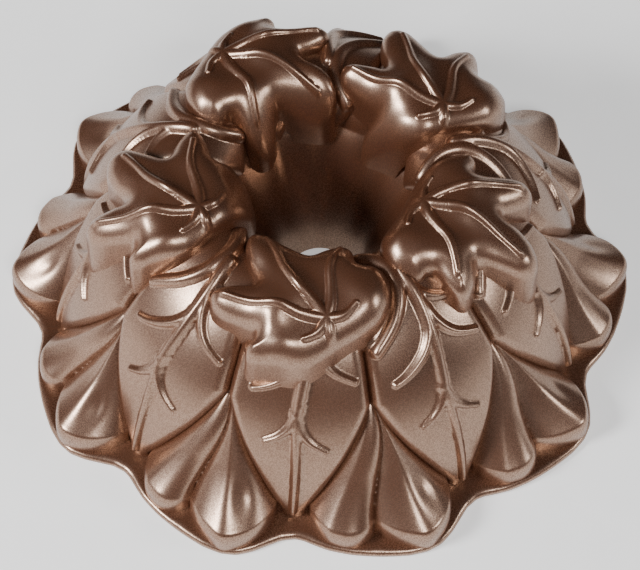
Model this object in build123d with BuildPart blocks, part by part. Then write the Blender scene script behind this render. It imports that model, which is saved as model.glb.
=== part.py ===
from build123d import *
import math
import os

# Fluted ring cake pan, cast in aluminium, standing rim down as it is stored.
# The casting is divided along its own pattern lines; the regions meet face to face.
# Z = 0 is the resting plane under the rim, and the Z axis runs up the centre tube.

# ---------------------------------------------------------------- driving dimensions
pan_height = 96.0          # resting plane to the highest maple leaf
crown_height = 88.0        # top of the long leaves, between the maple leaves
crown_radius = 55.0        # where the ring is highest
foot_radius = 112.5        # outside of the leaf tips, at the rim
wall = 4.0                 # casting thickness
belly = 1.6                # superellipse exponent of the outer wall

rim_thickness = 3.8
# scalloped rim edge: reach beyond the leaf tips and angle from the leaf axis, degrees
rim_notch = (9.2, 1.0)
rim_rise = (16.1, 13.0)
rim_lobe = (20.8, 24.3)
rim_fall = (15.2, 31.0)

lobes = 10                 # long leaves round the ring
first_leaf_angle = -95.0   # axis of the first long leaf, degrees
leaf_tip_half_angle = 3.2  # half width of a leaf tip, degrees
leaf_rise = 2.6            # how far a leaf stands out of the folds
shoulder_radius = 89.5     # where neighbouring leaves start to touch

fold_1_reach = 8.5         # narrow fold beyond the leaf tips, at the rim
fold_2_reach = 15.0        # wide fold beyond the leaf tips, at the rim
crease_reach = 5.0         # crease between the folds, at the rim
fold_1_turn = 8.5          # angles from the leaf axis, degrees
crease_turn = 15.5
fold_2_turn = 25.5

mouth_radius = 35.0        # where the leaves end inside the ring
mouth_height = 62.0
tube_end_radius = 19.0     # bore of the centre tube at its open end
tube_end_height = 4.0

maple_crest_radius = 48.0  # where the maple leaves are highest
maple_inner_drop = 16.0    # fall of a leaf towards the centre
maple_inner_reach = 12.5
maple_fall_radius = 80.0   # bend of a leaf over the side
maple_scale = 1.0
maple_tip_radius = 4.0
# each maple leaf: radius and angle of its vein centre, and the way it points
maple_places = [
    (69.0, -88.0, 123.0),
    (51.0, -152.5, 138.0),
    (64.0, 127.5, -24.5),
    (55.0, 31.0, 115.0),
    (46.0, -27.5, -26.0),
]
# one leaf outline, +X towards the main lobe, origin where the veins meet
maple_outline = [
    (47, 2), (40, -4), (28, -10), (24, -21), (12, -21), (6, -25), (-7, -21),
    (-13, -10), (-15, 5), (-15, 15), (-11, 23), (1, 31), (13, 17), (34, 31), (27, 13.5),
]

# ---------------------------------------------------------------- derived values
pitch = 360 / lobes
leaf_angles = [first_leaf_angle + pitch * n for n in range(lobes)]
above = pan_height + 10
fold_clearance = 6.0       # how far the folds run on under the leaves before they are cut


def polar(radius, angle):
    """A point at a radius and an angle in degrees."""
    return (radius * math.cos(math.radians(angle)), radius * math.sin(math.radians(angle)))


def side_radius(height, inset=0.0):
    """Radius of the ring's outer wall at a height, or of a surface inset from it."""
    reach = foot_radius - inset - crown_radius
    share = min(height / (crown_height - inset), 1.0)
    return crown_radius + reach * (1 - share**belly) ** (1 / belly)


def side_height(radius, inset=0.0):
    """Height of the same wall at a radius."""
    share = (radius - crown_radius) / (foot_radius - inset - crown_radius)
    return (crown_height - inset) * (1 - max(share, 0.0) ** belly) ** (1 / belly)


def ring_section(inset):
    """Face under the ring's outside, or under the surface inset from it, in the XZ plane."""
    steps = 9
    heights = [side_height(crown_radius + (foot_radius - inset - crown_radius) * n / steps, inset)
               for n in range(1, steps)]
    radii = [crown_radius + (foot_radius - inset - crown_radius) * n / steps for n in range(1, steps)]
    outer = [(crown_radius, crown_height - inset)] + list(zip(radii, heights))
    foot = (foot_radius - inset, 0)
    mouth = (mouth_radius + inset, mouth_height)
    with BuildSketch(Plane.XZ) as section:
        with BuildLine():
            Spline(*outer, foot, tangents=[(1, 0), (0, -1)])
            EllipticalCenterArc(
                (crown_radius, mouth_height),
                crown_radius - mouth_radius - inset,
                crown_height - inset - mouth_height,
                start_angle=90,
                arc_size=90,
            )
            Line(mouth, (mouth[0], 0))
            Line((mouth[0], 0), foot)
        make_face()
    return section.sketch


def leaf_outline(angle):
    """Plan of a long leaf: a blunt tip at the rim, full pitch wide from the shoulder inwards."""
    half = pitch / 2
    beyond = foot_radius + wall
    with BuildSketch() as plan:
        with BuildLine():
            Polyline(
                polar(mouth_radius, angle - half),
                polar(shoulder_radius, angle - half),
                polar(foot_radius, angle - leaf_tip_half_angle),
                polar(beyond, angle - leaf_tip_half_angle),
                polar(beyond, angle + leaf_tip_half_angle),
                polar(foot_radius, angle + leaf_tip_half_angle),
                polar(shoulder_radius, angle + half),
                polar(mouth_radius, angle + half),
            )
            ThreePointArc(
                polar(mouth_radius, angle + half),
                polar(mouth_radius, angle),
                polar(mouth_radius, angle - half),
            )
        make_face()
    return plan.sketch


def fold_curves(height, inset):
    """Radii of the start, fold 1, crease, fold 2 and end of a fold pair's section."""
    start = side_radius(height, leaf_rise) - inset
    lift = max(0.0, 1 - (height - rim_thickness) / (fold_top - rim_thickness))
    flare = lift**1.5
    crease = start + leaf_rise * 0.5 + crease_reach * flare
    return (start, start + leaf_rise + fold_1_reach * flare, crease,
            start + leaf_rise + fold_2_reach * flare)


def fold_section(height, inset=0.0, closing_inset=None):
    """Slab across a fold pair at a height, from one leaf axis to the next."""
    start, fold_1, crease, fold_2 = fold_curves(height, inset)
    axis = first_leaf_angle
    with BuildSketch(Plane.XY.offset(height)) as slab:
        with BuildLine():
            ThreePointArc(
                polar(start, axis),
                polar(fold_1, axis + fold_1_turn),
                polar(crease, axis + crease_turn),
            )
            ThreePointArc(
                polar(crease, axis + crease_turn),
                polar(fold_2, axis + fold_2_turn),
                polar(start, axis + pitch),
            )
            if closing_inset is None:
                Line(polar(start, axis + pitch), (0, 0))
                Line((0, 0), polar(start, axis))
            else:
                low, low_1, low_crease, low_2 = fold_curves(height, closing_inset)
                Line(polar(start, axis + pitch), polar(low, axis + pitch))
                ThreePointArc(
                    polar(low, axis + pitch),
                    polar(low_2, axis + fold_2_turn),
                    polar(low_crease, axis + crease_turn),
                )
                ThreePointArc(
                    polar(low_crease, axis + crease_turn),
                    polar(low_1, axis + fold_1_turn),
                    polar(low, axis),
                )
                Line(polar(low, axis), polar(start, axis))
        make_face()
    return slab.sketch


def maple_plan(place, inset=0.0):
    """Plan of one maple leaf, kept clear of the centre opening."""
    radius, angle, turn = place
    center = polar(radius, angle)
    with BuildSketch(Plane(origin=(*center, 0), x_dir=(*polar(1, turn), 0))) as plan:
        with BuildLine():
            Polyline(*[(x * maple_scale, y * maple_scale) for x, y in maple_outline], close=True)
        make_face()
        fillet(plan.vertices(), radius=maple_tip_radius / 2)
        if inset:
            offset(amount=-inset, kind=Kind.INTERSECTION)
    with BuildSketch() as clear:
        add(plan.sketch)
        Circle(mouth_radius + inset, mode=Mode.SUBTRACT)
    return clear.sketch


def maple_section(inset):
    """Face under the maple leaves' tops, or under the surface inset from them."""
    top = pan_height - inset
    crest = maple_crest_radius
    inner = crest - maple_inner_reach + inset
    bend = maple_fall_radius - inset
    outer = foot_radius
    outer_height = top - bend + math.sqrt(bend**2 - (outer - crest) ** 2)
    with BuildSketch(Plane.XZ) as section:
        with BuildLine():
            Line((inner, 0), (inner, top - maple_inner_drop))
            EllipticalCenterArc(
                (crest, top - maple_inner_drop),
                crest - inner,
                maple_inner_drop,
                start_angle=180,
                arc_size=-90,
            )
            RadiusArc((crest, top), (outer, outer_height), bend)
            Line((outer, outer_height), (outer, 0))
            Line((outer, 0), (inner, 0))
        make_face()
    return section.sketch


fold_top = side_height(shoulder_radius, leaf_rise) + fold_clearance
fold_heights = [rim_thickness, 11, 22, 36, fold_top]

# ---------------------------------------------------------------- forms shared by the regions
with BuildPart() as ring_hollow:
    add(ring_section(wall))
    revolve(axis=Axis.Z)

with BuildPart() as ring_skin:
    add(ring_section(0))
    revolve(axis=Axis.Z)
    add(ring_hollow.part, mode=Mode.SUBTRACT)

with BuildPart() as maple_blocks:
    for place in maple_places:
        add(maple_plan(place))
    extrude(amount=above)

with BuildPart() as leaf_blocks:
    for angle in leaf_angles:
        add(leaf_outline(angle))
    extrude(amount=above)

# ---------------------------------------------------------------- scalloped rim
rim_points = [
    polar(foot_radius + reach, angle + turn)
    for angle in leaf_angles
    for reach, turn in (rim_notch, rim_rise, rim_lobe, rim_fall)
]
with BuildPart() as rim_flange:
    with BuildSketch():
        with BuildLine():
            Spline(*rim_points, periodic=True)
        make_face()
    extrude(amount=rim_thickness)
    with PolarLocations(0, lobes):
        add(fold_section(0, wall))
    extrude(amount=rim_thickness, mode=Mode.SUBTRACT)

# ---------------------------------------------------------------- folds between the leaves
with BuildPart() as fold_pair:
    for height in fold_heights:
        add(fold_section(height, 0, wall))
    loft()
    add(leaf_blocks.part, mode=Mode.SUBTRACT)

# ---------------------------------------------------------------- one long leaf
with BuildPart() as long_leaf:
    add(leaf_outline(first_leaf_angle))
    extrude(amount=above)
    add(ring_skin.part, mode=Mode.INTERSECT)
    split(bisect_by=Plane.XY.offset(rim_thickness), keep=Keep.TOP)
    with BuildSketch():
        Circle(mouth_radius + wall)
    extrude(amount=mouth_height, mode=Mode.SUBTRACT)

# ---------------------------------------------------------------- centre tube
with BuildPart() as centre_tube:
    with BuildSketch(Plane.XZ):
        with BuildLine():
            Polyline(
                (mouth_radius, mouth_height),
                (mouth_radius + wall, mouth_height),
                (tube_end_radius + wall, tube_end_height),
                (tube_end_radius, tube_end_height),
                close=True,
            )
        make_face()
    revolve(axis=Axis.Z)

# ---------------------------------------------------------------- maple leaves
with BuildPart() as maple_hollow:
    add(maple_section(wall))
    revolve(axis=Axis.Z)

with BuildPart() as maple_form:
    add(maple_section(0))
    revolve(axis=Axis.Z)


def maple_leaf(place):
    """A leaf's top and skirt, down to the inside of the ring."""
    with BuildPart() as core:
        add(maple_plan(place, wall))
        extrude(amount=above)
        add(maple_hollow.part, mode=Mode.INTERSECT)
    with BuildPart() as leaf:
        add(maple_plan(place))
        extrude(amount=above)
        add(maple_form.part, mode=Mode.INTERSECT)
        add(core.part, mode=Mode.SUBTRACT)
        add(ring_hollow.part, mode=Mode.SUBTRACT)
        with BuildSketch():
            Circle(mouth_radius + wall)
        extrude(amount=mouth_height, mode=Mode.SUBTRACT)
    return leaf.part


def save(piece, name):
    """Label a finished region and write it."""
    piece.label = name
    export_step(piece, f"parts/{name}.step")


os.makedirs("parts", exist_ok=True)
save(rim_flange.part, "rim_flange")
save(centre_tube.part, "centre_tube")

for number in range(1, lobes + 1):
    turn = Rotation(0, 0, pitch * (number - 1))
    for kind, pattern in (("long_leaf", long_leaf), ("fold_pair", fold_pair)):
        with BuildPart() as region:
            add(turn * pattern.part)
            add(maple_blocks.part, mode=Mode.SUBTRACT)
        save(region.part, f"{kind}_{number:02d}")

for number, place in enumerate(maple_places, 1):
    save(maple_leaf(place), f"maple_leaf_{number}")
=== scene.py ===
# %% [markdown]
# # A cast ring cake pan
# This lesson builds the visible surface of a fluted ring pan that stands on its rim.
# The real pan is one aluminium casting 3 to 4 mm thick, so every piece here is a thin
# closed shell, and the pieces meet along the grooves of the pattern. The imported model
# gives the frame: sizes come from its boxes, and all work is in metres.

import math

import bmesh
import bpy
import numpy as np
from mathutils import Matrix, Vector


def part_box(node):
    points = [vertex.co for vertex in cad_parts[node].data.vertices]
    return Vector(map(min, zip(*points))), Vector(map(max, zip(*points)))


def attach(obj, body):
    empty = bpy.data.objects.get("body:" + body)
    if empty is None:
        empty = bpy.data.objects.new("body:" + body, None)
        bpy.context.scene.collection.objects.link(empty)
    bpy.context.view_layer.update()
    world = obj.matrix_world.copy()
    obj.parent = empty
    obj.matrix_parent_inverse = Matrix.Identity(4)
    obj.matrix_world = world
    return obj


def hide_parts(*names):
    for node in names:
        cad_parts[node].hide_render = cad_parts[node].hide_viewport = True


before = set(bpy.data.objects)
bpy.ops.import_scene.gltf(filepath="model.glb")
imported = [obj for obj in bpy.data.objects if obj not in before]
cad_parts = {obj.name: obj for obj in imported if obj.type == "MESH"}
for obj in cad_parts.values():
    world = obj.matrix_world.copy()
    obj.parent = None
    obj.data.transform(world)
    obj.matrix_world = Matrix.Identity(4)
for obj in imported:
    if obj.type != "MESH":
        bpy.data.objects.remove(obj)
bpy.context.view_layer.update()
MM = 0.001
rim_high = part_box("rim_flange")[1]
tube_low, tube_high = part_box("centre_tube")
leaf_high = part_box("long_leaf_01")[1]
print("nodes in the frame:", len(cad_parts))

# %% [markdown]
# ## Sizes
# A caster's drawing starts with a section through the ring. The outer wall is a
# superellipse: an ellipse whose exponent is under 2, which gives the straight-sided
# shoulder that lets a cake slide out. All sizes here are in millimetres, and one factor
# turns them to metres when a mesh is made.

# %% Driving sizes, millimetres
LOBES = 10
PITCH_DEGREES = 360 / LOBES
PITCH = math.radians(PITCH_DEGREES)
FIRST_AXIS = math.radians(-95)
RIM_TOP = rim_high[2] / MM
FOOT = 112.5            # radius of the leaf tips at the rim
CROWN_RADIUS = 55.0     # where the ring is highest
CROWN_HEIGHT = leaf_high[2] / MM
MOUTH_RADIUS = 35.0     # where the leaves end inside the ring
MOUTH_HEIGHT = tube_high[2] / MM
BELLY = 1.6             # superellipse exponent
WALL = 3.2              # casting thickness
TUBE_WALL = 2.4
SOFTENING = 6           # rounds of smoothing on the inner skin
SHOULDER = 54.0         # height where neighbouring leaves meet
print("rim top", round(RIM_TOP, 2), "crown", round(CROWN_HEIGHT, 2), "mouth", round(MOUTH_HEIGHT, 2))

# %% Section of the ring, from the rim over the crown to the mouth
QUARTER_STEPS = 400
EVEN_STEPS = 600
quarter = np.linspace(0, math.pi / 2, QUARTER_STEPS)
outside = np.stack([
    CROWN_RADIUS + (FOOT - CROWN_RADIUS) * np.cos(quarter) ** (2 / BELLY),
    CROWN_HEIGHT * np.sin(quarter) ** (2 / BELLY),
], axis=1)
inside = np.stack([
    CROWN_RADIUS - (CROWN_RADIUS - MOUTH_RADIUS) * np.sin(quarter[1:]),
    MOUTH_HEIGHT + (CROWN_HEIGHT - MOUTH_HEIGHT) * np.cos(quarter[1:]),
], axis=1)
section = np.concatenate([outside, inside])
section_run = np.concatenate([[0], np.cumsum(np.hypot(*np.diff(section, axis=0).T))])
CROWN_RUN = section_run[len(outside) - 1]
MOUTH_RUN = section_run[-1]
even_run = np.linspace(0, MOUTH_RUN, EVEN_STEPS)
even_radius = np.interp(even_run, section_run, section[:, 0])
even_height = np.interp(even_run, section_run, section[:, 1])
slope_radius = np.gradient(even_radius, even_run)
slope_height = np.gradient(even_height, even_run)
print("length of the section", round(MOUTH_RUN, 1), "mm, crown at", round(CROWN_RUN, 1))


def ring_point(run):
    """Radius and height on the section, and the outward normal there."""
    radius = np.interp(run, even_run, even_radius)
    height = np.interp(run, even_run, even_height)
    across = np.interp(run, even_run, slope_height)
    along = np.interp(run, even_run, -slope_radius)
    size = np.hypot(across, along)
    return radius, height, across / size, along / size


def run_at_height(height):
    """How far up the outer wall a height is."""
    return np.interp(height, outside[:, 1], section_run[:len(outside)])


def smooth_step(x):
    """0 below 0, 1 above 1, with no corner between."""
    x = np.clip(x, 0, 1)
    return x * x * (3 - 2 * x)


def bump(x, middle, spread):
    """A soft bump: 1 at the middle, near 0 two spreads away."""
    return np.exp(-(((x - middle) / spread) ** 2))


def around(angle, radius, height):
    """Points in metres from an angle, a radius and a height in millimetres."""
    return np.stack([radius * np.cos(angle), radius * np.sin(angle), height], axis=-1) * MM


# %% [markdown]
# ## From a flat grid to a pressed shell
# Every part of the pan starts as a flat grid. Its points are moved onto the pan by a
# rule, which is what a sculptor does by hand with a displacement brush. Solidify then
# gives the shell its thickness, and the inner skin is smoothed, because metal cast over
# a sharp rib has a softer rib inside.

# %% Grid, shell and object helpers
CORE_RADIUS = 75 * MM   # the middle of the ring, used to tell outside from inside
CORE_HEIGHT = 20 * MM


def grid_mesh(columns, rows, place):
    """A grid whose points (u, v from 0 to 1) are moved to place(u, v)."""
    bm = bmesh.new()
    bmesh.ops.create_grid(bm, x_segments=columns, y_segments=rows, size=1)
    flat = np.array([vert.co[:2] for vert in bm.verts])
    spots = place((flat[:, 0] + 1) / 2, (flat[:, 1] + 1) / 2)
    for vert, spot in zip(bm.verts, spots):
        vert.co = spot
    return bm


def face_outward(bm):
    """Turn an open skin so that its faces look away from the middle of the ring."""
    bm.normal_update()
    outward = 0
    for face in bm.faces:
        spot = face.calc_center_median()
        angle = math.atan2(spot.y, spot.x)
        core = Vector((CORE_RADIUS * math.cos(angle), CORE_RADIUS * math.sin(angle), CORE_HEIGHT))
        outward += face.normal.dot((spot - core).normalized()) * face.calc_area()
    if outward < 0:
        bmesh.ops.reverse_faces(bm, faces=bm.faces)


def give_wall(bm, thickness, softening):
    """Close an open skin into a shell, thickness inward, and soften the inner skin."""
    face_outward(bm)
    skin = set(bm.verts)
    bmesh.ops.solidify(bm, geom=bm.faces[:], thickness=thickness * MM)
    inner = [vert for vert in bm.verts
             if vert not in skin and not any(edge.other_vert(vert) in skin for edge in vert.link_edges)]
    for _ in range(softening):
        bmesh.ops.smooth_vert(bm, verts=inner, factor=0.5, use_axis_x=True, use_axis_y=True,
                              use_axis_z=True)


def add_object(name, data):
    """Put an object with this mesh, light or camera in the scene."""
    thing = bpy.data.objects.new(name, data)
    bpy.context.scene.collection.objects.link(thing)
    return thing


def finish_piece(bm, name, material, *nodes):
    """Make the object, shade it, hang it on the root body, and hide the frame's nodes that it stands for.
    """
    mesh = bpy.data.meshes.new(name)
    bm.to_mesh(mesh)
    bm.free()
    mesh.shade_smooth()
    mesh.set_sharp_from_angle(angle=math.radians(62))
    mesh.materials.append(material)
    piece = add_object(name, mesh)
    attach(piece, "root")
    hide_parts(*nodes)
    reach = np.array([corner for corner in piece.bound_box])
    print(name, len(mesh.polygons), "faces,", np.round((reach.max(0) - reach.min(0)) / MM, 1), "mm")


def rounded_path(points, rounds=3):
    """Corner cutting: turns a few points into a smooth open path."""
    path = np.array(points, dtype=float)
    for _ in range(rounds):
        near = path[:-1] * 0.75 + path[1:] * 0.25
        far = path[:-1] * 0.25 + path[1:] * 0.75
        middle = np.stack([near, far], axis=1).reshape(-1, 2)
        path = np.concatenate([path[:1], middle[1:-1], path[-1:]])
    return path


def distance_to(path, x, y):
    """Distance from each point to a path of straight steps."""
    return nearest_on(path, x, y)[0]


def nearest_on(path, x, y):
    """Distance from each point to a path, and how far along the path, 0 to 1."""
    best = np.full(x.shape, np.inf)
    along = np.zeros(x.shape)
    steps = len(path) - 1
    for n, ((x0, y0), (x1, y1)) in enumerate(zip(path[:-1], path[1:])):
        dx, dy = x1 - x0, y1 - y0
        share = np.clip(((x - x0) * dx + (y - y0) * dy) / (dx * dx + dy * dy + 1e-12), 0, 1)
        distance = np.hypot(x - x0 - share * dx, y - y0 - share * dy)
        nearer = distance < best
        best = np.where(nearer, distance, best)
        along = np.where(nearer, (n + share) / steps, along)
    return best, along


def vein_height(path, x, y, half_width, height, taper):
    """A raised vein with a rounded top and sloping sides, thinner towards its end."""
    distance, along = nearest_on(path, x, y)
    size = 1 - taper * along
    side = np.clip(1 - (distance / (half_width * size)) ** 2, 0, 1)
    return height * size**0.6 * side**0.85


# %% [markdown]
# ## The coating
# The outside is a bronze-coloured metallic coating, sprayed and baked on cast
# aluminium. It is a brown pigment with pale metal flakes in it, so two shaders are
# mixed: a dull brown one and a metal one of medium roughness. One fine noise gives the
# flakes their colour, their roughness, a very shallow bump and their share of the
# surface. Its grain is 0.4 mm, coarser than real flakes, so that the sparkle shows.

# %% Colour and node helpers
def linear(code):
    """An sRGB hex colour as linear RGBA."""
    parts = [int(code[n:n + 2], 16) / 255 for n in (1, 3, 5)]
    return [c / 12.92 if c <= 0.04045 else ((c + 0.055) / 1.055) ** 2.4 for c in parts] + [1]


def add_node(tree, kind, links=None, **settings):
    """Add a node; settings name its properties or its input sockets, links feed sockets."""
    node = tree.nodes.new(kind)
    for key, value in settings.items():
        if hasattr(node, key):
            setattr(node, key, value)
        else:
            node.inputs[key.replace("_", " ")].default_value = value
    for socket, source in (links or {}).items():
        tree.links.new(source, node.inputs[socket])
    return node


# %% Bronze coating
FLAKE_SIZE = 0.4 * MM
CLOUD_SIZE = 14 * MM     # slow change in the pigment's tone, as sprayed
BUMP_DEPTH = 0.05 * MM


def bronze_coating():
    """Baked coating on cast aluminium: brown pigment with pale metallic flakes in it."""
    material = bpy.data.materials.new("baked_bronze_coating")
    material.use_nodes = True
    tree = material.node_tree
    tree.nodes.clear()
    place = add_node(tree, "ShaderNodeTexCoord").outputs["Object"]
    flake = add_node(tree, "ShaderNodeTexNoise", {"Vector": place}, Scale=1 / FLAKE_SIZE, Detail=2.0)
    cloud = add_node(tree, "ShaderNodeTexNoise", {"Vector": place}, Scale=1 / CLOUD_SIZE, Detail=3.0)
    grain = flake.outputs["Fac"]
    flake_tone = add_node(tree, "ShaderNodeValToRGB", {"Fac": grain})
    flake_tone.color_ramp.elements[0].position = 0.3
    flake_tone.color_ramp.elements[0].color = linear("#94755f")
    flake_tone.color_ramp.elements[1].position = 0.7
    flake_tone.color_ramp.elements[1].color = linear("#cdb19c")
    pigment_tone = add_node(tree, "ShaderNodeValToRGB", {"Fac": cloud.outputs["Fac"]})
    pigment_tone.color_ramp.elements[0].color = linear("#5a3523")
    pigment_tone.color_ramp.elements[1].color = linear("#6b412b")
    rough = add_node(tree, "ShaderNodeMapRange", {"Value": grain}, To_Min=0.22, To_Max=0.33)
    bump = add_node(tree, "ShaderNodeBump", {"Height": grain}, Strength=0.2, Distance=BUMP_DEPTH)
    flakes = add_node(tree, "ShaderNodeBsdfPrincipled",
                      {"Base Color": flake_tone.outputs["Color"], "Roughness": rough.outputs["Result"],
                       "Normal": bump.outputs["Normal"]}, Metallic=1.0)
    pigment = add_node(tree, "ShaderNodeBsdfPrincipled",
                       {"Base Color": pigment_tone.outputs["Color"], "Normal": bump.outputs["Normal"]},
                       Roughness=0.45)
    share = add_node(tree, "ShaderNodeMapRange", {"Value": grain}, From_Min=0.35, From_Max=0.65,
                     To_Min=0.38, To_Max=0.62)
    mix = add_node(tree, "ShaderNodeMixShader", {0: share.outputs["Result"], 1: pigment.outputs["BSDF"],
                                                 2: flakes.outputs["BSDF"]})
    add_node(tree, "ShaderNodeOutputMaterial", {"Surface": mix.outputs["Shader"]})
    print("material", material.name, "with", len(tree.nodes), "nodes")
    return material


BRONZE = bronze_coating()

# %% [markdown]
# ## Maple leaf outline
# Five maple leaves of one shape lie round the crown, each turned its own way. Their
# outline is needed first, because the long leaves under them are open there: the cast
# wall goes up into each maple leaf instead.

# %% Maple leaf places and outline, millimetres
MAPLE_REACH = 60     # every edge point is nearer than this to the middle
EDGE_STEPS = 360
# radius and angle of the vein centre, and the way the main lobe points, degrees
MAPLE_PLACES = [
    (69.9, -87.8, 122.9),
    (52.0, -153.1, 137.9),
    (66.9, 127.2, -22.4),
    (55.3, 29.4, 111.0),
    (43.5, -26.0, -25.9),
]
MAPLE_MIDDLE = (9.0, 2.0)    # centre of the leaf's grid, from the vein centre
# round the edge from the main lobe, +X towards its tip
MAPLE_EDGE = [
    (49, -1), (45.5, -5), (38, -7), (31, -9), (28, -11), (31, -18), (31.5, -25), (28, -28),
    (22, -26), (16, -23), (13.5, -24.5), (12.4, -28.5), (8.5, -31.5), (2, -30), (-5, -25),
    (-9, -18.5), (-9.5, -10), (-9, 0), (-9.2, 8), (-8.5, 13.5), (-6, 18.5), (-3, 21.8), (0.5, 25.5),
    (3.5, 29.5), (7, 31.5), (10.2, 29.5), (11, 25), (13, 23.5), (18, 26.5), (25, 31), (30, 32.5), (35, 30),
    (35, 25), (31, 18.5), (27.5, 14), (31, 12), (37, 11.5), (44, 9), (49, 4),
]


def maple_outline():
    """The leaf's edge as a smooth closed path, evenly spaced."""
    ring = np.array(MAPLE_EDGE + MAPLE_EDGE[:1], dtype=float)
    for _ in range(3):
        near = ring[:-1] * 0.8 + ring[1:] * 0.2
        far = ring[:-1] * 0.2 + ring[1:] * 0.8
        ring = np.stack([near, far], axis=1).reshape(-1, 2)
        ring = np.concatenate([ring, ring[:1]])
    run = np.concatenate([[0], np.cumsum(np.hypot(*np.diff(ring, axis=0).T))])
    even = np.linspace(0, run[-1], EDGE_STEPS + 1)
    return np.stack([np.interp(even, run, ring[:, 0]), np.interp(even, run, ring[:, 1])], axis=1)


MAPLE_PATH = maple_outline()


def to_leaf(place, x, y):
    """World millimetres to a maple leaf's own coordinates."""
    radius, angle, turn = place
    dx = x - radius * math.cos(math.radians(angle))
    dy = y - radius * math.sin(math.radians(angle))
    c, s = math.cos(math.radians(turn)), math.sin(math.radians(turn))
    return dx * c + dy * s, dy * c - dx * s


def from_leaf(place, x, y):
    """A maple leaf's own coordinates to world millimetres."""
    radius, angle, turn = place
    c, s = math.cos(math.radians(turn)), math.sin(math.radians(turn))
    return (radius * math.cos(math.radians(angle)) + x * c - y * s,
            radius * math.sin(math.radians(angle)) + x * s + y * c)


def inside_maple(x, y, margin):
    """True where a point lies inside a maple leaf, at least margin from its edge."""
    hit = np.zeros(x.shape, dtype=bool)
    for place in MAPLE_PLACES:
        lx, ly = to_leaf(place, x, y)
        near = np.hypot(lx - MAPLE_MIDDLE[0], ly - MAPLE_MIDDLE[1]) < MAPLE_REACH
        px, py = lx[near], ly[near]
        crossings = np.zeros(px.shape, dtype=int)
        for (x0, y0), (x1, y1) in zip(MAPLE_PATH[:-1], MAPLE_PATH[1:]):
            spans = (y0 > py) != (y1 > py)
            at = x0 + (py - y0) * (x1 - x0) / (y1 - y0 if y1 != y0 else 1e-9)
            crossings += spans & (px < at)
        within = crossings % 2 == 1
        within &= distance_to(MAPLE_PATH, px, py) > margin
        hit[np.flatnonzero(near)[within]] = True
    return hit


print("maple outline", EDGE_STEPS, "steps")

# %% [markdown]
# ## Long leaves
# Ten long leaves start inside the ring, go over the crown and narrow to a tip on the
# rim. Each stands about 5 mm out of the folds with a rounded edge, and carries raised
# veins. The grid's columns follow the leaf's edges, so the rounded edge stays crisp.

# %% Long leaf relief
START_RUN = float(run_at_height(RIM_TOP - 1))
SHOULDER_RUN = float(run_at_height(SHOULDER))
TONGUE_RUN = CROWN_RUN + 9     # inside the ring, where a leaf starts to narrow again
EDGE_WIDTH = 5.5
EDGE_CURVE = (2.3, 1.4)        # exponents of the rounded edge's section
LEAST_HALF = 2.4               # half angle of a leaf at its tip, degrees
HALF_GROWTH = 0.3265           # degrees more for each millimetre above the tip
TIP_HEIGHT = 5
TIP_GROWTH = 2.0
TONGUE_NARROWING = 0.72
TIP_RISE = 1.5
SIDE_RISE = 3.7                # added to the tip's rise along the side
RISE_RUN = 26
CROWN_FALL = 2.6               # taken off again at the crown
CROWDING = 0.32                # draws the grid's columns towards the leaf's edges
CAMBER = 0.7
VEIN_FADE = 2.0                # veins die out this near the edge


def leaf_half_angle(run, height):
    """Half the angle that a leaf spans."""
    degrees = np.clip(TIP_GROWTH + HALF_GROWTH * (height - TIP_HEIGHT), LEAST_HALF, PITCH_DEGREES / 2)
    side = np.where(run > SHOULDER_RUN, PITCH / 2, np.radians(degrees))
    tongue = np.clip((run - TONGUE_RUN) / (MOUTH_RUN - TONGUE_RUN), 0, 1)
    return side * (1 - TONGUE_NARROWING * tongue**1.7)


def leaf_rise(run):
    """How far a leaf stands out of what lies beside it."""
    start = smooth_step((run - START_RUN) / RISE_RUN)
    up = smooth_step((run - SHOULDER_RUN) / (CROWN_RUN - SHOULDER_RUN))
    return TIP_RISE + SIDE_RISE * start - CROWN_FALL * up


def side_vein(points):
    """A vein from (degrees off the axis, height on the outer wall)."""
    runs = [float(run_at_height(height)) for _, height in points]
    return vein_path([degrees for degrees, _ in points], runs)


def crown_vein(points):
    """A vein from (degrees off the axis, distance outward from the crown line)."""
    return vein_path([degrees for degrees, _ in points], [CROWN_RUN - out for _, out in points])


def vein_path(degrees, runs):
    """Smooth path in millimetres across and along a leaf."""
    across = [math.radians(d) * float(ring_point(run)[0]) for d, run in zip(degrees, runs)]
    return rounded_path(list(zip(across, runs)))


# each vein: its path, half width and height in millimetres, and how much it thins
LEAF_VEINS = [
    (side_vein([(2.2, 84.5), (3.0, 79), (2.3, 73), (0.8, 62), (-0.2, 52), (0.2, 42), (0.3, 25), (0, 8)]),
     3.1, 3.0, 0.4),
    (side_vein([(2.6, 76), (1.8, 71), (-2, 66), (-8, 61.5), (-11.6, 60)]), 2.8, 2.8, 0.5),
    (side_vein([(2.8, 79), (4.0, 73), (8, 67), (14.4, 63.5)]), 2.6, 2.6, 0.5),
    (side_vein([(0.4, 57), (-0.6, 50), (-3.5, 45), (-7.0, 42)]), 2.6, 2.6, 0.55),
    (side_vein([(-0.3, 54), (0.6, 48), (3.2, 43), (6.8, 39.5)]), 2.6, 2.6, 0.55),
    (crown_vein([(-11, -17), (-4, -11), (-0.9, -5), (-1, 2), (-3, 9), (-7, 16), (-11, 21), (-15, 26)]),
     3.6, 2.8, 0.35),
    (crown_vein([(1.5, 6), (4.5, 11), (8.5, 15), (13.5, 17)]), 2.6, 2.0, 0.5),
]


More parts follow.
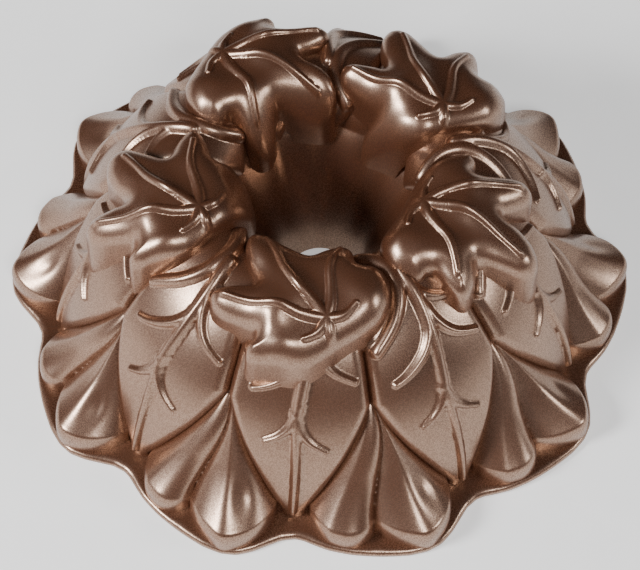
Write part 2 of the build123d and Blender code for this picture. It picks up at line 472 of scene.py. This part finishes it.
def place_leaf(u, v):
    """Points of the first long leaf."""
    run = START_RUN + v * (MOUTH_RUN - START_RUN)
    radius, height, out, up = ring_point(run)
    across = 2 * u - 1
    across = across * (1 + CROWDING - CROWDING * across**2)
    half = leaf_half_angle(run, height)
    half_width = half * radius
    edge = (1 - np.abs(across)) * half_width
    width = np.minimum(EDGE_WIDTH, 0.85 * half_width)
    inward = np.clip(1 - edge / width, 0, 1)
    rounding, fullness = EDGE_CURVE
    lift = -leaf_rise(run) * (1 - (1 - inward**rounding) ** (1 / fullness))
    lift = lift + CAMBER * (1 - across**2)
    x = across * half_width
    vein = np.zeros(run.shape)
    for path, vein_half, tall, taper in LEAF_VEINS:
        vein = np.maximum(vein, vein_height(path, x, run, vein_half, tall, taper))
    lift = lift + vein * smooth_step(edge / VEIN_FADE)
    angle = FIRST_AXIS + across * half
    return around(angle, radius + lift * out, height + lift * up)


# %% Long leaf pieces
LEAF_COLUMNS = 96
LEAF_ROWS = 220
UNDER_MAPLE = 1.4     # the opening stays this far inside a maple leaf's edge


def open_under_maples(bm):
    """Take away the faces that a maple leaf stands over."""
    middles = np.array([face.calc_center_median()[:2] for face in bm.faces]) / MM
    covered = inside_maple(middles[:, 0], middles[:, 1], UNDER_MAPLE)
    gone = [face for face, hidden in zip(bm.faces, covered) if hidden]
    bmesh.ops.delete(bm, geom=gone, context="FACES")


def repeat_round(pattern, node_start):
    """Turn a pattern to each lobe of the pan, open it, give it a wall and finish it."""
    for number in range(1, LOBES + 1):
        bm = pattern.copy()
        bmesh.ops.rotate(bm, verts=bm.verts, cent=(0, 0, 0),
                         matrix=Matrix.Rotation(PITCH * (number - 1), 3, "Z"))
        open_under_maples(bm)
        give_wall(bm, WALL, SOFTENING)
        name = f"{node_start}_{number:02d}"
        finish_piece(bm, f"{name}_shell", BRONZE, name)
    pattern.free()
    print(node_start, "made:", LOBES)


repeat_round(grid_mesh(LEAF_COLUMNS, LEAF_ROWS, place_leaf), "long_leaf")

# %% [markdown]
# ## Folds
# Between two long leaves the wall falls in two folds, a narrow one and a wide one, with
# a sharp crease between them. They flare at the rim like the mouth of a trumpet, end in
# a rounded lip, and drop to the rim.

# %% Fold relief
LIP = 10.5                     # height of the folds' lip
LIP_ROUND = 2.2                # how far the wall moves out as it drops from the lip
LIP_SHARE = 0.16               # share of the grid's rows that make that drop
FLARE = 5.0
FLARE_REACH = 6.0
NARROW_OUT = 13                # how far each part stands out at the rim
CREASE_OUT = 8.5
WIDE_OUT = 5.5
WIDE_FOOT = 14                 # more at the foot of the wide fold
CREASE_PLACE = 0.42            # share of the way from one leaf to the next
CREASE_SWEEP = 0.5             # how far the crease leans over towards the top
FOLD_LAP = math.radians(0.5)   # the folds start this far under the leaves
FOLD_TOP_GAP = 0.6
ROW_CROWDING = 1.15
RIM_LAP = 4.0                  # the rim runs this far in under the folds and leaves


def fold_bulge(u, height):
    """How far the folds stand out of the line between two leaves' feet."""
    rest = np.clip(1 - (height - RIM_TOP) / (SHOULDER - RIM_TOP), 0, 1)
    narrow = NARROW_OUT * rest**0.8
    crease = CREASE_OUT * rest**1.2
    wide = WIDE_OUT * rest + WIDE_FOOT * rest**1.6
    split = CREASE_PLACE + CREASE_SWEEP * (1 - rest) ** 2.6
    first = np.clip(u / split, 0, 1)
    second = np.clip((u - split) / (1 - split), 0, 1)
    hump_1 = np.sin(math.pi * first) ** 0.55
    hump_2 = np.sin(math.pi * second**1.3) ** 0.6
    shoulder = 0.7 * bump(first, 0.3, 0.1) * rest
    ridge = 1.0 * bump(second, 0.5, 0.12) * rest
    hollow = 1.5 * bump(second, 0.72, 0.10) * bump(rest, 0.72, 0.10)
    in_first = first * crease + (narrow - crease / 2) * hump_1 + shoulder
    in_second = (1 - second) * crease + (wide - crease / 2) * hump_2 + ridge - hollow
    hump = np.where(u < split, 0.25 * first + 0.6 * hump_1, 0.25 * (1 - second) + hump_2)
    flare = FLARE * hump * np.exp(-(height - LIP) / FLARE_REACH)
    return np.where(u < split, in_first, in_second) + flare


def fold_spot(u, run):
    """Angle, radius and height on the folds, above their lip."""
    radius, height, out, up = ring_point(run)
    half = leaf_half_angle(run, height)
    start = half - FOLD_LAP
    angle = FIRST_AXIS + start + u * (PITCH - 2 * start)
    lift = fold_bulge(u, height) - leaf_rise(run)
    return angle, radius + lift * out, height + lift * up


def place_folds(u, v):
    """Points of the first pair of folds."""
    bottom = float(run_at_height(LIP))
    top = float(run_at_height(SHOULDER - FOLD_TOP_GAP))
    above = np.clip((v - LIP_SHARE) / (1 - LIP_SHARE), 0, 1)
    angle, radius, height = fold_spot(u, bottom + (top - bottom) * above**ROW_CROWDING)
    under = np.clip(1 - v / LIP_SHARE, 0, 1)
    drop = under * (height - RIM_TOP + 1)
    radius = radius + LIP_ROUND * (1 - np.exp(-drop / LIP_ROUND))
    return around(angle, radius, height - drop)


# %% Fold pieces
FOLD_COLUMNS = 84
FOLD_ROWS = 96
repeat_round(grid_mesh(FOLD_COLUMNS, FOLD_ROWS, place_folds), "fold_pair")

# %% [markdown]
# ## Rim
# The rim is a thin flat flange. Its outer edge has ten skewed lobes, one for each pair
# of folds, and its inner edge runs in under the feet of the leaves and folds. A
# rectangle is spun round the axis, each point is moved in or out to the edges of the
# rim at its angle, and the outer edge is rounded by thinning it.

# %% Rim flange
# millimetres beyond FOOT and degrees counted from a long leaf's axis
RIM_EDGE = [(9.0, 0.8), (9.6, 2.5), (11.3, 4.5), (13.4, 7), (15.8, 11), (18.1, 16), (20.2, 21),
            (20.7, 24.3), (19.6, 27), (16.8, 29.5), (13.2, 32), (10.2, 34.3)]
RIM_STEPS = 1080
RIM_CUTS = 9             # cuts along each side of the section
RIM_ROUND = 1.5
RIM_THINNING = 0.85
SECTION_INNER = 0.2      # inner side of the section before it is stretched; the outer is 1
WRAP = 3                 # rim points repeated at each end, so that the edge closes smoothly


def around_leaf(degrees):
    """Angle counted from the nearest long leaf's axis before it, 0 to 36 degrees."""
    return np.mod(degrees - math.degrees(FIRST_AXIS), PITCH_DEGREES)


def foot_reach(degrees):
    """Radius of the rim's inner edge, a little in from the feet of the leaves and folds."""
    turn = around_leaf(degrees)
    run = run_at_height(LIP)
    radius, height, out, up = ring_point(run)
    half = math.degrees(float(leaf_half_angle(run, height)))
    turn = np.where(turn > PITCH_DEGREES - half, turn - PITCH_DEGREES, turn)
    u = np.clip((turn - half) / (PITCH_DEGREES - 2 * half), 0, 1)
    lift = fold_bulge(u, height) - leaf_rise(run)
    reach = np.maximum(radius + lift * out + LIP_ROUND - RIM_LAP, FOOT - RIM_LAP)
    return np.where(np.abs(turn) < half, FOOT - RIM_LAP, reach)


def rim_reach(degrees):
    """Radius of the rim's outer edge."""
    turn = around_leaf(degrees)
    turns = np.array([t for _, t in RIM_EDGE])
    reach = np.array([r for r, _ in RIM_EDGE])
    turns = np.concatenate([turns[-WRAP:] - PITCH_DEGREES, turns, turns[:WRAP] + PITCH_DEGREES])
    reach = np.concatenate([reach[-WRAP:], reach, reach[:WRAP]])
    fine = np.linspace(-6, PITCH_DEGREES + 6, 481)
    soft = np.interp(fine, turns, reach)
    kernel = np.hanning(17)
    soft = np.convolve(soft, kernel / kernel.sum(), mode="same")
    return FOOT + np.interp(turn, fine, soft)


bm = bmesh.new()
corners = [(SECTION_INNER, 0), (1, 0), (1, 1), (SECTION_INNER, 1)]
ring = [bm.verts.new((x, 0, z)) for x, z in corners]
edges = [bm.edges.new((ring[n], ring[(n + 1) % 4])) for n in range(4)]
bmesh.ops.subdivide_edges(bm, edges=edges, cuts=RIM_CUTS)
bmesh.ops.spin(bm, geom=bm.verts[:] + bm.edges[:], cent=(0, 0, 0), axis=(0, 0, 1),
               angle=2 * math.pi, steps=RIM_STEPS, use_merge=True, use_duplicate=False)
bmesh.ops.remove_doubles(bm, verts=bm.verts, dist=1e-7)
bmesh.ops.recalc_face_normals(bm, faces=bm.faces)
spots = np.array([vert.co for vert in bm.verts])
share = (np.hypot(spots[:, 0], spots[:, 1]) - SECTION_INNER) / (1 - SECTION_INNER)
degrees = np.degrees(np.arctan2(spots[:, 1], spots[:, 0]))
inner = foot_reach(degrees) - WALL
outer = rim_reach(degrees)
radius = inner + (outer - inner) * share
height = spots[:, 2] * RIM_TOP
past = np.clip(radius - (outer - RIM_ROUND), 0, RIM_ROUND) / RIM_ROUND
middle = RIM_TOP / 2
height = middle + (height - middle) * np.sqrt(np.clip(1 - RIM_THINNING * past**2, 0, 1))
for vert, spot in zip(bm.verts, around(np.radians(degrees), radius, height)):
    vert.co = spot
finish_piece(bm, "rim_flange_plate", BRONZE, "rim_flange")
print("rim reaches", round(float(outer.max()), 1), "mm")

# %% [markdown]
# ## Centre tube
# The tube narrows downward from the ends of the long leaves. It has shallow flutes that
# continue the leaves, and is open at its lower end, where heat comes up through it.

# %% Centre tube
TUBE_END = 14.0
TUBE_END_HEIGHT = tube_low[2] / MM
BACK_RUN = CROWN_RUN + 8      # the tube's top runs on behind the ends of the leaves
BACK_SHARE = 0.35             # share of the rows on that stretch
BACK_GAP = 3.0
BELL = 0.8                    # under 1, the tube narrows faster at first
FLUTE = 0.8
TUBE_COLUMNS = 360
TUBE_ROWS = 90


def place_tube(u, v):
    """Points of the tube's face on the side of the hole."""
    angle = 2 * math.pi * u
    run = BACK_RUN + (MOUTH_RUN - BACK_RUN) * np.clip(v / BACK_SHARE, 0, 1)
    radius, height, out, up = ring_point(run)
    radius, height = radius - BACK_GAP * out, height - BACK_GAP * up
    fall = np.clip((v - BACK_SHARE) / (1 - BACK_SHARE), 0, 1)
    radius = radius + (TUBE_END - radius) * fall**BELL
    height = height + (TUBE_END_HEIGHT - height) * fall
    flute = np.cos(LOBES * (angle - FIRST_AXIS)) * FLUTE * (1 - fall) * np.clip(v / BACK_SHARE, 0, 1)
    return around(angle, radius + flute, height)


bm = grid_mesh(TUBE_COLUMNS, TUBE_ROWS, place_tube)
bmesh.ops.remove_doubles(bm, verts=bm.verts, dist=1e-6)
give_wall(bm, TUBE_WALL, 0)
finish_piece(bm, "centre_tube_cone", BRONZE, "centre_tube")
print("tube ends at", TUBE_END, "mm")

# %% [markdown]
# ## Maple leaves
# Each maple leaf is a puffy island: a rounded edge all round, upright sides down to the
# long leaves, and raised veins. A round grid is stretched to the outline, so its outer
# rows follow the edge, and its last rows are the upright side.

# %% Maple leaf relief
MAPLE_PEAK = 91.0
MAPLE_CREST = 48.0       # radius where the tops are highest
FALL_OUTWARD = 0.0062    # how fast they fall from there, by the square of the distance
FALL_INWARD = 0.055
# where the pad of the leaf is puffed: middle, spread and height, millimetres
MAPLE_PUFFS = [((17, 3), (11, 6), 3.0), ((13, 14), (8, 8), 4.0), ((17, -13), (8, 7), 1.5),
               ((0, 20), (6, 9), 2.0), ((2, -17), (8, 6), 2.0), ((9, -31), (8, 5), -4.0)]
MAPLE_VEINS = [
    [(0, 0), (8, 1.0), (16.5, 3), (25, 3), (33, 1.2), (42, 0)],
    [(0, 0), (3.5, 5), (8, 9.5), (13.5, 13), (19, 19), (24, 23), (30, 27)],
    [(0, 0), (4, -4.5), (10, -8), (16, -11), (21, -16.5), (24.5, -21.5)],
    [(0, 0), (-3, 5.5), (-2, 11)],
    [(0, 0), (-2.8, -6), (-1, -12)],
    [(0, 0), (-6, 2.0), (-12.5, 3.8)],
]
MAPLE_VEIN = (2.3, 1.9, 0.45)    # half width, height, and how much it thins
MAPLE_VEIN_FADE = 3.0
EDGE_ROUND = 7.0
SIDE_DRAFT = 0.06                # the side leans out by this share of its drop
SIDE_SINK = 5.0                  # it ends this far under the long leaves' surface
LEAST_SIDE = 4.0                 # and goes down at least this far
MAPLE_ROWS = 64
SIDE_ROWS = 16


def maple_cap(x, y):
    """Height of the maple leaves' tops over the pan, before the edge is rounded."""
    radius = np.hypot(x, y)
    beyond = radius - MAPLE_CREST
    return MAPLE_PEAK - np.where(beyond > 0, FALL_OUTWARD, FALL_INWARD) * beyond**2


def ring_height(x, y):
    """Height of the leaves' surface over the pan."""
    radius = np.hypot(x, y)
    return np.interp(radius, even_radius[::-1], even_height[::-1])


def place_maple(place, share, index):
    """Points of a maple leaf: share 0 to 1 runs from its middle to its edge, 1 to 2 down its side."""
    edge_x, edge_y = MAPLE_PATH[index].T
    top = np.clip(share, 0, 1)
    side = np.clip(share - 1, 0, 1)
    reach = top ** 0.9
    mx, my = MAPLE_MIDDLE
    x = mx + (edge_x - mx) * reach
    y = my + (edge_y - my) * reach
    depth = distance_to(MAPLE_PATH, x, y)
    depth = np.where(share >= 1, 0, depth)
    world_x, world_y = from_leaf(place, x, y)
    cap = maple_cap(world_x, world_y)
    inward = np.clip(1 - depth / EDGE_ROUND, 0, 1)
    cap = cap - EDGE_ROUND * (1 - np.sqrt(np.clip(1 - inward**2, 0, 1)))
    for (px, py), (wide, high), tall in MAPLE_PUFFS:
        cap = cap + tall * np.exp(-((x - px) / wide) ** 2 - ((y - py) / high) ** 2)
    vein = np.zeros(x.shape)
    for points in MAPLE_VEINS:
        path = rounded_path(points)
        vein = np.maximum(vein, vein_height(path, x, y, *MAPLE_VEIN))
    cap = cap + vein * smooth_step(depth / MAPLE_VEIN_FADE)
    base = np.minimum(ring_height(world_x, world_y) - SIDE_SINK, cap - LEAST_SIDE)
    height = cap + (base - cap) * side
    out_x, out_y = edge_x - mx, edge_y - my
    size = np.hypot(out_x, out_y)
    spread = SIDE_DRAFT * np.maximum(cap - height, 0)
    world_x, world_y = from_leaf(place, x + spread * out_x / size, y + spread * out_y / size)
    return np.stack([world_x, world_y, height], axis=-1) * MM


# %% Maple leaf pieces
for number, place in enumerate(MAPLE_PLACES, start=1):
    rows = MAPLE_ROWS + SIDE_ROWS

    # the grid's columns go round the edge, and its rows go out and then down
    def place_point(u, v):
        index = np.rint(u * EDGE_STEPS).astype(int) % EDGE_STEPS
        share = np.where(v <= MAPLE_ROWS / rows, v * rows / MAPLE_ROWS,
                         1 + (v * rows - MAPLE_ROWS) / SIDE_ROWS)
        return place_maple(place, share, index)

    bm = grid_mesh(EDGE_STEPS, rows, place_point)
    bmesh.ops.remove_doubles(bm, verts=bm.verts, dist=1e-6)
    bmesh.ops.recalc_face_normals(bm, faces=bm.faces)
    give_wall(bm, WALL, SOFTENING)
    name = f"maple_leaf_{number}"
    finish_piece(bm, f"{name}_shell", BRONZE, name)
print("maple leaves made:", len(MAPLE_PLACES))

# %% [markdown]
# ## Stage
# The pan stands on a plain pale sheet in soft light. The sheet has a painted glow:
# it emits a little light near the pan, which lights the pan's lower sides from below,
# and less further out: a shiny side mirrors the far part of the sheet, and stays
# dark. The camera looks down at about 59 degrees.

# %% Floor and world
FLOOR_SIZE = 3           # metres from the middle to a side
GLOW_NEAR = 0.22         # metres from the middle, where the glow starts to fade
GLOW_FAR = 0.5


def paper_with_painted_glow():
    """Pale background paper, with a painted glow that emits light near the pan and lights the pan from
    below.
    """
    material = bpy.data.materials.new("background_paper_painted_glow")
    material.use_nodes = True
    tree = material.node_tree
    shader = tree.nodes["Principled BSDF"]
    place = add_node(tree, "ShaderNodeTexCoord").outputs["Object"]
    grain = add_node(tree, "ShaderNodeTexNoise", {"Vector": place}, Scale=60.0)
    tone = add_node(tree, "ShaderNodeValToRGB", {"Fac": grain.outputs["Fac"]})
    tone.color_ramp.elements[0].color = linear("#f6f6f6")
    tone.color_ramp.elements[1].color = linear("#ffffff")
    tree.links.new(tone.outputs["Color"], shader.inputs["Base Color"])
    shader.inputs["Roughness"].default_value = 0.9
    shader.inputs["Emission Color"].default_value = (1, 1, 1, 1)
    reach = add_node(tree, "ShaderNodeVectorMath", {0: place}, operation="LENGTH")
    # painted glow: the paper emits light, most near the pan, a painted pool of light that also lights the
    # pan from below
    glow = add_node(tree, "ShaderNodeMapRange", {"Value": reach.outputs["Value"]},
                    From_Min=GLOW_NEAR, From_Max=GLOW_FAR, To_Min=0.5, To_Max=0.12)
    tree.links.new(glow.outputs["Result"], shader.inputs["Emission Strength"])
    return material


bm = bmesh.new()
bmesh.ops.create_grid(bm, x_segments=2, y_segments=2, size=FLOOR_SIZE)
mesh = bpy.data.meshes.new("floor")
bm.to_mesh(mesh)
bm.free()
mesh.materials.append(paper_with_painted_glow())
floor = add_object("floor", mesh)

world = bpy.data.worlds.new("studio")
bpy.context.scene.world = world
world.use_nodes = True
background = world.node_tree.nodes["Background"]
background.inputs["Color"].default_value = (1, 1, 1, 1)
background.inputs["Strength"].default_value = 0.03
print("floor and world made")


# %% Lights
LAMP_SIZE = 0.35
AIM_HEIGHT = 0.05


def lamp(name, spot, power):
    """A soft square light aimed at the pan."""
    data = bpy.data.lights.new(name, "AREA")
    data.shape = "SQUARE"
    data.size = LAMP_SIZE
    data.energy = power
    light = add_object(name, data)
    light.location = spot
    toward = Vector((0, 0, AIM_HEIGHT)) - light.location
    light.rotation_euler = toward.to_track_quat("-Z", "Y").to_euler()
    print(name, "lamp,", power, "watts")


lamp("front", (0.25, -0.85, 1.0), 7)
lamp("left", (-1.0, -0.45, 0.8), 20)
lamp("right", (1.2, -0.3, 0.6), 5)

# %% Camera
ELEVATION = math.radians(58.83)
ROLL = math.radians(0.62)
DISTANCE = 0.7343
camera_data = bpy.data.cameras.new("camera")
camera_data.lens = 94.93
camera_data.sensor_width = 36
camera_data.shift_y = -0.0077
camera = add_object("camera", camera_data)
camera.location = (0, -DISTANCE * math.cos(ELEVATION), DISTANCE * math.sin(ELEVATION))
aim = (-camera.location).to_track_quat("-Z", "Y").to_matrix()
turned = (aim @ Matrix.Rotation(ROLL, 3, "Z")).to_4x4()
camera.matrix_world = Matrix.Translation(camera.location) @ turned
bpy.context.scene.camera = camera
print("camera at", np.round(np.array(camera.location), 3), "m")
